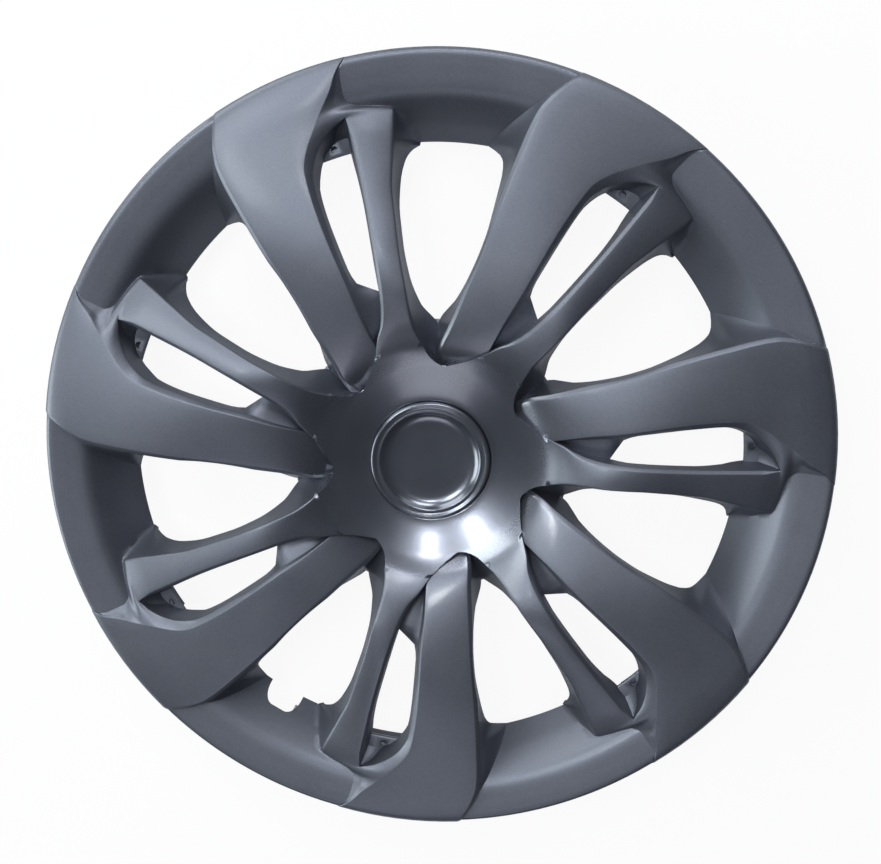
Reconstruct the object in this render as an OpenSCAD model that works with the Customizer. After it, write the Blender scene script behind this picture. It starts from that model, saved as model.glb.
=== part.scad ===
// Full wheel trim for a 15 inch steel wheel: seven pairs of one broad paddle and one slim blade.
// It lies show face up on the tips of its clips. Millimetres, +Z is the wheel axis.

/* [Rim] */
// Outer diameter of the rim edge
outer_d = 398; // [386:1:410]
// Height of the rim edge above the clip tips
rim_height = 48; // [44:1:58]
// Depth of the outer skirt that rests on the wheel
skirt_depth = 9; // [5:0.5:14]
// Radius of the edge where the coves end and the windows begin
window_outer_r = 160; // [156:0.5:163]
// Depth of that edge below the rim
cove_depth = 30; // [24:0.5:33]
// Half the width of the cut that clears the tyre valve
valve_r = 8.7; // [6:0.1:11]

/* [Spokes] */
// Pairs of spokes round the hub
pairs = 7; // [6:1:8]
// Width of a paddle at its waist
paddle_w = 33; // [29:0.5:37]
// Width of a slim blade at its waist
blade_w = 14; // [11:0.5:17]
// Width of the chamfer along the paddle's leading edge
chamfer_w = 1.9; // [0.8:0.1:3]
// Drop of that chamfer
chamfer_drop = 1.3; // [0.5:0.1:2]
// Height of the thin side walls where they are lowest
web_h = 8; // [6:0.5:11]
// Wall thickness of the moulding
wall = 2.4; // [2:0.1:3]

/* [Hub] */
// Depth of the hub floor below the rim
hub_drop = 18; // [14:0.5:22]
// Diameter of the seat for the centre cap
seat_d = 63; // [56:0.5:70]
// Depth of that seat
seat_depth = 4; // [3:0.25:6]
// Diameter of the hole that takes the centre cap's spigot
spigot_hole_d = 30; // [20:0.5:40]

/* [Centre cap] */
// Clearance all round the centre cap
cap_gap = 0.25; // [0.1:0.05:0.6]
// Height of the cap's rounded rim above the hub floor
cap_rise = 2.4; // [1:0.1:4]
// Radius of the cap's sunk middle
cap_bowl_r = 21; // [15:0.5:24]
// Length of the spigot behind the seat
spigot_len = 7; // [4:0.5:12]

/* [Clips] */
// Width of a clip along the rim
clip_w = 22; // [12:0.5:28]
// Thickness of a clip
clip_t = 3.2; // [2.4:0.1:4.5]
// Radius of the inner face of the clips
clip_r = 174.5; // [172:0.5:176]
// Diameter of the retaining wire
wire_d = 4; // [3:0.25:5]
// Clearance round the wire in its groove
wire_gap = 0.2; // [0.1:0.05:0.5]
// Height of the wire above the clip tips
wire_height = 9; // [6:0.5:14]
// Gap between the two ends of the wire
wire_end_gap = 20; // [4:1:30]

/* [Hidden] */

$fn = 98;
pitch = 360 / pairs;
rim_r = outer_d / 2;

// The lines below were drawn for this pitch and these widths and depths.
drawn_pitch = 360 / 7;
drawn_paddle_w = 33;
drawn_blade_w = 14;
drawn_hub_drop = 18;
drawn_cove = 30;

// Each line of the show face gives [radius, angle] and [radius, height above the rim edge].
// Leading edge of a paddle
lead_deg = [[50, 27], [61, 24.6], [70, 22], [84, 19.6], [105, 17.4], [130, 16], [154, 14.9],
            [177, 13.7], [187, 12.2], [193, 11], [199, 9.8]];
lead_z = [[50, -20], [56, -15.5], [61, -12.4], [70, -9], [84, -5.4], [98, -3], [112, -1],
          [126, 1], [140, 2.2], [160, 2.6], [187, 3], [193, 2], [199, -0.2]];
// Trailing edge of a paddle
trail_deg = [[50, 3.9], [79.5, 3.9], [98, 3.3], [130, 2.9], [148, 2.2], [155.6, 1.7],
             [163.3, 0.2], [170, -1.7], [176.4, -3.5], [186, -6.2], [192, -7.3], [199, -9]];
trail_z = [[50, -18], [60, -12], [70, -7.6], [84, -2.4], [98, 0.8], [120, 2.4], [145, 2],
           [160, 1.5], [175, 0.9], [187, 0.8], [193, 0.6], [199, -0.2]];
// Foot of the paddle's leading wall
lead_foot_deg = [[50, 30], [66, 29], [74, 27], [84, 22.2], [96, 19.5], [110, 17.9], [122, 17.3],
                 [145, 17.2], [153, 17.6], [157.5, 18.8], [160, 20.8], [162, 20.3], [175, 16.5],
                 [181, 14.7], [187, 12.7], [193, 11.4], [199, 10.1]];
lead_foot_share = [[50, 0.86], [74, 0.8], [84, 0.56], [96, 0.4], [110, 0.29], [122, 0.27],
                   [134, 0.31], [145, 0.48], [153, 0.72], [158, 0.93], [160, 1.02]];
// Lower edge of the bevel that turns down into the slit
bevel_deg = [[50, 3.3], [70, 3.3], [99, 2], [112, 2.1], [131, 1.7], [148.6, 1.1], [157.6, -0.3],
             [165.5, -2.8], [170, -5.1], [173, -7.4]];
bevel_drop = [[50, 0.6], [70, 0.6], [112, 1.2], [150, 1.8], [165, 2.4], [173, 3]];
// Foot of the wall below that bevel, which runs under the blade and closes the slit near the hub
slit_foot_deg = [[50, 2.4], [70, 2.4], [71, -1.5], [76, -3], [88, -5.6], [97, 0.3], [106, 1],
                 [123, 1.1], [144, 0.5], [154, -0.7], [161, -3], [165.5, -6], [172.5, -7.2]];
// Leading edge of a blade, which sweeps round the end of the paddle at the hub
blade_lead_deg = [[50.5, 22.8], [51.4, 19.8], [54.3, 13.8], [57, 10], [62, 5.2], [66, 3],
                  [69.5, 1.2], [73.5, -1.2], [79, -3.2], [85.5, -4.6], [98, -5.9], [110, -6.6],
                  [140, -7.3], [173, -7.4]];
blade_lead_z = [[50, -14], [58, -11], [66, -7], [73.5, -3.4], [80, -0.5], [90, 2.6], [100, 4.4],
                [110, 4], [125, 1.5], [150, -0.8], [173, -2]];
// Trailing edge of a blade, which sweeps back round the next paddle's end
blade_trail_deg = [[50.5, -28], [52, -24], [54.3, -21], [57, -19], [61, -17.2], [66, -15.4],
                   [75, -14], [90, -13.6], [110, -13.1], [134, -13.1], [152, -14], [173, -14.8]];
blade_trail_z = [[50, -14], [58, -10], [66, -5.5], [75, -0.8], [85, 2.4], [95, 3.4], [105, 2.2],
                 [130, -1.2], [150, -4], [173, -8]];
// Foot of the blade's trailing wall
blade_foot_deg = [[50, -30], [61, -28], [71, -23.4], [81.5, -17.2], [96, -14.6], [111, -14],
                  [124, -14], [140, -14.7], [151, -15.8], [156, -17], [159, -18.6], [162, -18.2],
                  [173, -15.6]];
blade_foot_share = [[50, 0.86], [71, 0.8], [81.5, 0.56], [96, 0.36], [111, 0.27], [124, 0.28],
                    [140, 0.42], [151, 0.68], [156, 0.86], [159, 1]];

// The bridge that joins a pair outside its slit: its ridge, its foot, and the end of its wall
bridge_mid_deg = [[173, -7.4], [175, -7.8], [178, -6.4], [182, -6.3], [186, -6.9], [192, -7.6],
                  [199, -9.2]];
bridge_mid_z = [[173, -2], [178, -1.4], [182, -0.8], [187, -0.2], [193, 0.3], [199, -0.6]];
bridge_foot_deg = [[173, -14.8], [174.3, -14.6], [176, -12], [178, -9], [182, -7.8], [192, -8],
                   [199, -9.5]];
bridge_foot_z = [[173, -8], [174.3, -8.6], [176, -6.6], [178, -4.6]];
bridge_wall_deg = [[173, -15.6], [174.3, -15.4], [176, -13], [178, -9.7], [182, -8.4], [192, -8.5],
                   [199, -10]];

// Section of the rim between two pairs, from the foot of the cove to the edge: [radius, height]
rim_line = [[160, -30], [164, -24], [168, -18], [174.3, -9.2], [178, -4.8], [181, -2.2],
            [184, -0.8], [187, -0.1], [193, 0], [197, -0.3], [199, -1.6]];

// How deep the two walls of the slit hang at a radius, as a share of their full depth
paddle_slit_share = [[72, 0.3], [88, 0.3], [97, 0.45], [130, 0.42], [145, 0.6], [153, 0.9], [160, 1]];
blade_slit_share = [[72, 0.8], [88, 0.8], [100, 0.5], [130, 0.42], [145, 0.6], [153, 0.9], [160, 1]];

// Radii between the hub and the window edge follow that edge, and those outside it also the rim edge.
drawn_window_r = rim_line[0][0];
drawn_rim_r = rim_line[len(rim_line) - 1][0];
function mix(a, b, t) = a + (b - a) * t;
function real(r) = r < drawn_window_r ? r * window_outer_r / drawn_window_r
    : mix(window_outer_r, rim_r, (r - drawn_window_r) / (drawn_rim_r - drawn_window_r));
function drawn(r) = r < window_outer_r ? r * drawn_window_r / window_outer_r
    : mix(drawn_window_r, drawn_rim_r, (r - window_outer_r) / (rim_r - window_outer_r));

scale_a = pitch / drawn_pitch;
slit_depth = web_h + 5;
hub_r = real(51.5);
slit_end_r = real(173);
clip_middle = -4 * scale_a;
ledge_hole_r = 2.2;
valve_corner_r = 6;
cove_columns = 6;

function mm_deg(mm, r) = mm / r * 180 / PI;
function polar(r, a, z) = [r * cos(a), r * sin(a), z];
// The dish deepens with the hub, and fades out where the paddles level off.
function dish_extra(r) = (drawn_hub_drop - hub_drop) * max(0, min(1, (110 - drawn(r)) / 60));
function at_deg(line, r) = lookup(drawn(r), line) * scale_a;
function at_z(line, r) = lookup(drawn(r), line) + dish_extra(r);

// Height of the rim section at a radius: the cove keeps to its own depth.
function cove_z(z) = z > -2.3 ? z : mix(-2.2, -cove_depth, (-2.2 - z) / (drawn_cove - 2.2));
rim_profile = [for (p = rim_line) [real(p[0]), cove_z(p[1])]];
function rim_z(r) = lookup(r, rim_profile);

// Widening of the spokes; both fade out at the rim.
function grow(r) = min(1, max(0, (176 - drawn(r)) / 12));
function paddle_extra(r) = mm_deg((paddle_w - drawn_paddle_w) / 2, r) * grow(r);
function blade_extra(r) = mm_deg(blade_w - drawn_blade_w, r) * grow(r);
function lead(r) = at_deg(lead_deg, r) + paddle_extra(r);
function trail(r) = at_deg(trail_deg, r) - paddle_extra(r);
function lead_foot(r) = at_deg(lead_foot_deg, r) + paddle_extra(r);
// Near the hub the spokes stand in the solid cone of the hub and reach down to its core.
function core_z(r) = mix(-20, -26.4, (drawn(r) - 50) / 21) * cove_depth / drawn_cove;
function is_core(r) = drawn(r) < 72;
// The feet hang between the thin web height in the middle and the cove's depth at both ends.
function foot_z(share, r) = is_core(r) ? core_z(r) : r < window_outer_r
    ? -max(lookup(drawn(r), share) * cove_depth, web_h * 0.8) : rim_z(r) - 0.8;

// The chamfer along the leading edge gets flatter towards the rim edge.
function flatten(r) = max(0.25, min(1, (drawn_rim_r - drawn(r)) / 17));
function chamfer(r) = [lead(r) + min(mm_deg(chamfer_w, r), (lead_foot(r) - lead(r)) * 0.8),
                       at_z(lead_z, r) - chamfer_drop * flatten(r)];

// The top of a paddle, from the trailing edge to the leading edge, with a slight crown
function paddle_top(r) = [for (i = [0:3]) let (t = i / 3) [mix(trail(r), lead(r), t),
    mix(at_z(trail_z, r), at_z(lead_z, r), t) + 2 * t * (1 - t) * flatten(r)]];

// One cross-section of a paddle at radius r: a channel that is open to the back
function paddle_section(r) =
    let (top = paddle_top(r), edge = chamfer(r), w = mm_deg(wall, r),
         foot = max(lead_foot(r), lead(r) + mm_deg(0.3, r)),
         foot_h = min(foot_z(lead_foot_share, r), edge[1] - 0.6),
         hang = at_deg(bevel_deg, r) - paddle_extra(r),
         hang_h = at_z(trail_z, r) - lookup(drawn(r), bevel_drop),
         slit = min(at_deg(slit_foot_deg, r) - paddle_extra(r), hang - 0.1),
         slit_h = is_core(r) ? core_z(r) : hang_h - slit_depth * lookup(drawn(r), paddle_slit_share))
    [[foot, foot_h], edge, top[3], top[2], top[1], top[0], [hang, hang_h], [slit, slit_h],
     [slit + w, slit_h],
     [max(trail(r), hang + w) + 0.2, is_core(r) ? core_z(r) : hang_h - wall],
     [lead(r) - w * 0.8, is_core(r) ? core_z(r) : edge[1] - wall],
     [foot - w, foot_h]];

// One cross-section of a blade
function blade_section(r) =
    let (a1 = at_deg(blade_lead_deg, r), z1 = at_z(blade_lead_z, r),
         a2 = at_deg(blade_trail_deg, r) - blade_extra(r), z2 = at_z(blade_trail_z, r),
         w = mm_deg(wall, r),
         slit = a1 + (drawn(r) < 100 ? 0.5 : 1.2),
         slit_h = is_core(r) ? core_z(r) : z1 - (slit_depth - 1) * lookup(drawn(r), blade_slit_share),
         foot = min(at_deg(blade_foot_deg, r) - blade_extra(r), a2 - 0.3),
         foot_h = min(foot_z(blade_foot_share, r), z2 - 2))
    [[slit, slit_h], [a1, z1], [(a1 + a2) / 2, (z1 + z2) / 2 + 0.6], [a2, z2], [foot, foot_h],
     [foot + w, foot_h], [a2 + w * 0.8, is_core(r) ? core_z(r) : z2 - wall - 1],
     [a1 - w * 0.5, is_core(r) ? core_z(r) : z1 - wall - 1], [slit - w, slit_h]];

// Where a spoke runs on into the rim, its end is sunk below the surface.
function sunk(section) = [for (p = section) [p[0], p[1] - 1]];

// The foot of the cove's two side walls, inside the end of the slits and outside it
function cove_start(r) = lead_foot(r) - pitch;
function cove_stop(r) = r < slit_end_r ? at_deg(blade_foot_deg, r) - blade_extra(r)
    : at_deg(bridge_wall_deg, r);
function cove_top(r) = [for (i = [1:cove_columns])
    [r, mix(cove_start(r), cove_stop(r), i / cove_columns), rim_z(r)]];

// The bridge at radius r, which carries on the end of the blade and runs out on the rim
function bridge_top(r) =
    let (foot = at_deg(bridge_foot_deg, r), mid = at_deg(bridge_mid_deg, r),
         foot_h = drawn(r) < 178 ? lookup(drawn(r), bridge_foot_z) : rim_z(r),
         mid_h = lookup(drawn(r), bridge_mid_z))
    [[foot, foot_h],
     [(foot + mid) / 2, (foot_h + mid_h) / 2 + 0.6 * max(0, 178 - drawn(r)) / 5],
     [mid, mid_h]];

// The top of one sector as [radius, angle, height], from the cove over the spokes to the next cove.
// Inside the end of the slits only the cove goes on; the rest stays there, lowered by a step.
function sector_top(r, step) =
    let (q = max(r, slit_end_r))
    concat(cove_top(r),
           [for (p = concat(bridge_top(q), paddle_top(q), [chamfer(q)])) [q, p[0], p[1] - step]],
           [[r, lead_foot(r), rim_z(r)]]);

// Skins a row of sections, all with the same number of points, and caps both ends.
// The angle turns the row, so that shared points fall exactly on those of the rim.
module loft(rows, sections, angle) {
    n = len(sections[0]);
    m = len(rows);
    points = [for (i = [0:m - 1]) for (p = sections[i]) polar(rows[i], p[0] + angle, p[1])];
    sides = [for (i = [0:m - 2]) for (j = [0:n - 1]) each [
        [i * n + j, (i + 1) * n + j, i * n + (j + 1) % n],
        [i * n + (j + 1) % n, (i + 1) * n + j, (i + 1) * n + (j + 1) % n]]];
    inner = [for (j = [0:n - 1]) j];
    outer = [for (j = [n - 1:-1:0]) (m - 1) * n + j];
    polyhedron(points, concat([inner, outer], sides), convexity = 8);
}

// Skins closed rounds of points that lie round a ring; the last round joins the first.
module ring_skin(rounds) {
    n = len(rounds[0]);
    m = len(rounds);
    polyhedron([for (p = rounds) each p],
               [for (i = [0:m - 1]) for (j = [0:n - 1])
                   let (a = i * n + j, b = (i + 1) % m * n + j,
                        c = (i + 1) % m * n + (j + 1) % n, d = i * n + (j + 1) % n)
                   each [[a, d, b], [d, c, b]]],
               convexity = 8);
}

function scaled(list) = [for (r = list) real(r)];
paddle_rows = scaled([50, 60, 71, 76, 88, 97, 112, 130, 145, 153, 157.5, 161, 166, 173, 174.2]);
blade_rows = scaled([50.5, 53, 56.5, 62, 71, 76, 84, 100, 112, 130, 145, 153, 159, 165, 173, 174.2]);
rim_rows = scaled([173, 177, 181, 184, 187, 193, 197, 199]);

// Rows of sections, of which the last one is sunk
function sections(rows, kind) = [for (i = [0:len(rows) - 1])
    let (s = kind == "paddle" ? paddle_section(rows[i]) : blade_section(rows[i]))
    i == len(rows) - 1 ? sunk(s) : s];

// The rim with its coves, and the paddles and bridges that lie on it
module rim() {
    back = wall * 1.2;
    function all_round(sector, drop) = [for (k = [0:pairs - 1]) for (p = sector)
        polar(p[0], p[1] + k * pitch, p[2] - drop)];
    function flat_round(r, z) = [for (k = [0:pairs - 1]) for (p = sector_top(rim_r, 0))
        polar(r, p[1] + k * pitch, z)];
    ring_skin(concat([all_round(sector_top(window_outer_r, back * 0.5), 0),
                      all_round(sector_top(mix(window_outer_r, slit_end_r, 0.5), back * 0.25), 0)],
                     [for (r = rim_rows) all_round(sector_top(r, 0), 0)],
                     [flat_round(rim_r, -skirt_depth), flat_round(rim_r - wall, -skirt_depth),
                      flat_round(rim_r - wall, -wall * 1.6),
                      all_round(sector_top(rim_rows[2], 0), back),
                      all_round(sector_top(slit_end_r, 0), back),
                      all_round(sector_top(window_outer_r, -back * 0.25), back)]));
}

module hub() {
    seat_r = seat_d / 2;
    floor_z = -hub_drop;
    pocket_r = real(73);
    pocket_z = -0.86 * cove_depth;
    rotate_extrude($fn = 40)
        polygon([[spigot_hole_d / 2, floor_z - seat_depth], [seat_r, floor_z - seat_depth],
                 [seat_r, floor_z + 0.4], [seat_r + 1.2, floor_z + 1],
                 [hub_r, at_z(blade_lead_z, hub_r)],
                 [pocket_r, pocket_z], [pocket_r, pocket_z - wall],
                 [seat_r + wall, floor_z - seat_depth - wall],
                 [spigot_hole_d / 2, floor_z - seat_depth - wall]]);
}

// One clip: a ledge that closes the end of the slit, a bowed tab below it with a groove for the wire,
// and two gussets between the two
module clip() {
    angle = mm_deg(clip_w, clip_r);
    ledge_angle = mm_deg(clip_w + 14, clip_r);
    ledge_r = window_outer_r - 2;
    ledge_z = -slit_depth;
    back_r = clip_r + clip_t;
    tip = -rim_height;
    wire = wire_height - rim_height;
    difference() {
        rotate([0, 0, clip_middle - ledge_angle / 2])
            rotate_extrude(angle = ledge_angle, $fn = 42)
                translate([ledge_r, ledge_z - wall])
                    square([back_r + 2 - ledge_r, wall]);
        rotate([0, 0, clip_middle])
            translate([mix(ledge_r, clip_r, 0.3), 0, ledge_z - wall - 1])
                cylinder(r = ledge_hole_r, h = wall + 2, $fn = 10);
    }
    rotate([0, 0, clip_middle - angle / 2])
        rotate_extrude(angle = angle, $fn = 56)
            difference() {
                polygon([[clip_r, ledge_z - 1], [back_r + 1, ledge_z - 1], [back_r, wire + 6],
                         [back_r + 1.5, wire], [back_r - 0.6, tip],
                         [clip_r - 1, tip], [clip_r - 1.6, wire - wire_d],
                         [clip_r - 1.6, wire + wire_d], [clip_r, wire + wire_d + 3]]);
                translate([clip_r - 0.6, wire])
                    circle(r = wire_d / 2 + wire_gap, $fn = 11);
            }
    for (side = [-0.35, 0.35])
        rotate([0, 0, clip_middle + side * angle])
            translate([back_r - 0.5, -wall / 2, ledge_z - wall])
                hull() {
                    cube([2.2, wall, 1.2]);
                    translate([0, 0, -9])
                        cube([1, wall, 1]);
                }
}

module cover() {
    color([0.36, 0.37, 0.42])
        translate([0, 0, rim_height])
            difference() {
                union() {
                    rim();
                    hub();
                    for (k = [0:pairs - 1]) {
                        loft(paddle_rows, sections(paddle_rows, "paddle"), k * pitch);
                        loft(blade_rows, sections(blade_rows, "blade"), k * pitch);
                        rotate([0, 0, k * pitch])
                            clip();
                    }
                }
                rotate([0, 0, -2 * pitch - 25.6 * scale_a])
                    hull()
                        for (side = [-1, 1])
                            translate([window_outer_r + 1.4, side * (valve_r - valve_corner_r),
                                       -cove_depth - 2 * wall])
                                cylinder(r = valve_corner_r, h = cove_depth, $fn = 20);
            }
}

// The plain centre cap: a rounded rim round a shallow bowl, with a split spigot behind
module centre_cap() {
    r = seat_d / 2 - cap_gap;
    base = rim_height - hub_drop - seat_depth;
    rim_top = seat_depth + cap_rise;
    spigot_r = spigot_hole_d / 2 - cap_gap;
    color([0.36, 0.37, 0.42])
        translate([0, 0, base])
            difference() {
                rotate_extrude()
                    polygon([[0, -wall - 1], [spigot_r - wall, -wall - 1], [spigot_r - wall, -spigot_len],
                             [spigot_r, -spigot_len], [spigot_r, 0], [r, 0], [r, seat_depth],
                             [r - 1.2, rim_top - 0.8], [r - 2.6, rim_top], [r - 4, rim_top - 0.7],
                             [cap_bowl_r + 1, seat_depth - 0.6], [cap_bowl_r, seat_depth - 1],
                             [cap_bowl_r * 0.6, seat_depth - 1.6], [0, seat_depth - 1.9]]);
                for (a = [0, 90])
                    rotate([0, 0, a])
                        translate([-r, -1, -spigot_len - 1])
                            cube([2 * r, 2, spigot_len + 0.5]);
            }
}

// The spring wire that lies in the clips' grooves and presses them outwards
module retaining_ring() {
    ring_r = clip_r - 0.6;
    open = mm_deg(wire_end_gap, ring_r);
    color([0.62, 0.63, 0.65])
        translate([0, 0, wire_height])
            rotate([0, 0, -2.5 * pitch + open / 2])
                rotate_extrude(angle = 360 - open)
                    translate([ring_r, 0])
                        circle(r = wire_d / 2, $fn = 24);
}

cover();
centre_cap();
retaining_ring();
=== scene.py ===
# Dresses the wheel trim: a smooth painted shell with softened edges, its clips, cap and wire ring,
# on a pale floor.
#
# Lengths are in mm and angles in degrees, unless a line says otherwise. A section of the show face is a
# list of (mm round the arc, height above the rim edge) at one radius. All sections of one strip have the
# same count of points, so that they join column by column.

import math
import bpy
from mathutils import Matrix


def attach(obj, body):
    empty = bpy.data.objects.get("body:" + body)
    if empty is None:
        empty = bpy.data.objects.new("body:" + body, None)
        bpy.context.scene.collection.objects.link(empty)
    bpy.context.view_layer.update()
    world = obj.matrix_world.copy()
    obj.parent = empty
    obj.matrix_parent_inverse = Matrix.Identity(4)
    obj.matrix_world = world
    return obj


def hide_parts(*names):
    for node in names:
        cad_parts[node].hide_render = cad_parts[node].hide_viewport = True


bl_info = {
    "name": "Wheel trim",
    "version": (1, 0, 0),
    "blender": (4, 5, 0),
    "location": "View3D > Sidebar > Trim",
    "description": "Builds the painted surfaces of a seven-pair wheel trim round its packed solids",
    "category": "Object",
}

import bmesh
import bpy
import numpy as np
from bpy.props import FloatProperty, FloatVectorProperty, PointerProperty
from mathutils import Matrix, Vector

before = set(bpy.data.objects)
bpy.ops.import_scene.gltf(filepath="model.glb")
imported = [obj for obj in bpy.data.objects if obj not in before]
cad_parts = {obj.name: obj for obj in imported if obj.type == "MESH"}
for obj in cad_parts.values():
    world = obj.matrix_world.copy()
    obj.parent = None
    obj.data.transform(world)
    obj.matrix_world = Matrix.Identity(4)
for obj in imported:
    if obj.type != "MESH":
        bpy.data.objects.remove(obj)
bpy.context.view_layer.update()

MM = 0.001
PAIRS = 7
PITCH = 360 / PAIRS
RIM_HEIGHT = 48.0
DRAWN_RIM_R = 199.0
RIM_R = 198.72
RIM_ROLL_R = 190.0
STAR_TIP_R = 50.3
SLIT_END_R = 173.0
WINDOW_R = 160.0
WELD = 0.02

# Chamfers as (width, depth), and the reach of the arcs that round the edges
LEAD_CHAMFER = (2.1, 1.35)
BLADE_CHAMFER = (1.7, 1.36)
LIGHT_ARC = 0.35
FULL_ARC = 0.4
BLADE_TRAIL_ARC = 1.1

# The largest share of a section's side that an arc takes
ARC_SHARE = 0.42

# How far the tops swell, in mm, and how hollow the walls and the slits' ends are, as shares of their size
TOP_CROWN = 0.5
BEVEL_CROWN = 0.12
WALL_HOLLOW = 0.16
PADDLE_SLIT_HOLLOW = 0.06
BLADE_SLIT_HOLLOW = 0.05
SCOOP_SAG = 0.10

# The cut for the tyre valve: its cove, its place, the half width of its floor and its corners' radius, and
# the columns and rows of the cove round it
NOTCH_PAIR = 5
NOTCH_DEG = -25.6
NOTCH_R = WINDOW_R + 1.0
NOTCH_CORNER = 6.4
NOTCH_HALF = 3.7
NOTCH_COLUMNS = 27
NOTCH_ROWS = 10
NOTCH_SHARES = (0.12, 0.72)

# Behind the slits' ends: clips with their grooves and gussets, ledges with their recesses, and the wire
CLIP_DEG = -4.0
CLIP_R = 174.5
CLIP_HALF = 11
LEDGE_HALF = 18
GROOVE_R = CLIP_R - 0.6
GROOVE_HEIGHT = 9
GROOVE_SIZE = 2.2
GUSSET_HALF = 1.2
GUSSET_SHARE = 0.7
RECESS_R = 161.8
RECESS_TURN = 0.2
RECESS_SIZE = 1.8
RECESS_HEIGHTS = (32.78, 37)
WIRE_GAP_DEG = -2.5 * PITCH
WIRE_GAP_HALF = 10

# Counts of spans and points in a section
TOP_SPANS = 8
BEVEL_SPANS = 3
SCOOP_SPANS = 6
WALL_POINTS = 5
SLIT_WALL_POINTS = 3
ARC_SPANS = 3
ARC_POINTS = ARC_SPANS + 1

# Segments of what is turned
HUB_SEGMENTS = 126
CAP_SEGMENTS = 128
WIRE_SEGMENTS = 240
CLIP_SEGMENTS = 8

# Edges that turn by more than these angles stay sharp
SHARP_EDGE = 50
SHARP_LEDGE = 40
SHARP_CLIP = 35

# Radii of the sections, as (from, to, step)
OUTER_STEPS = ((WINDOW_R, SLIT_END_R, 1.3),)
PADDLE_STEPS = ((50, 76, 2), (76, 150, 3.7), (150, WINDOW_R, 1.6))
STAR_STEPS = ((STAR_TIP_R, 52, 0.3), (52, 60, 0.8), (60, 84, 1.6), (84, 150, 3.7), (150, WINDOW_R, 1.6))
RIM_STEPS = ((SLIT_END_R, 188, 1.0), (188, DRAWN_RIM_R, 1.2))
SCOOP_STEPS = ((162.5, SLIT_END_R, 0.75),)

# Columns of a paddle's section before its bevel's edge, and of a blade's section before the last point of
# the arc at its top
PADDLE_TOP_COLUMNS = 1 + WALL_POINTS + 3 * ARC_POINTS + (TOP_SPANS - 1) + (BEVEL_SPANS - 1)
BLADE_SLIT_COLUMNS = 1 + SLIT_WALL_POINTS + ARC_POINTS + ARC_SPANS

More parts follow.
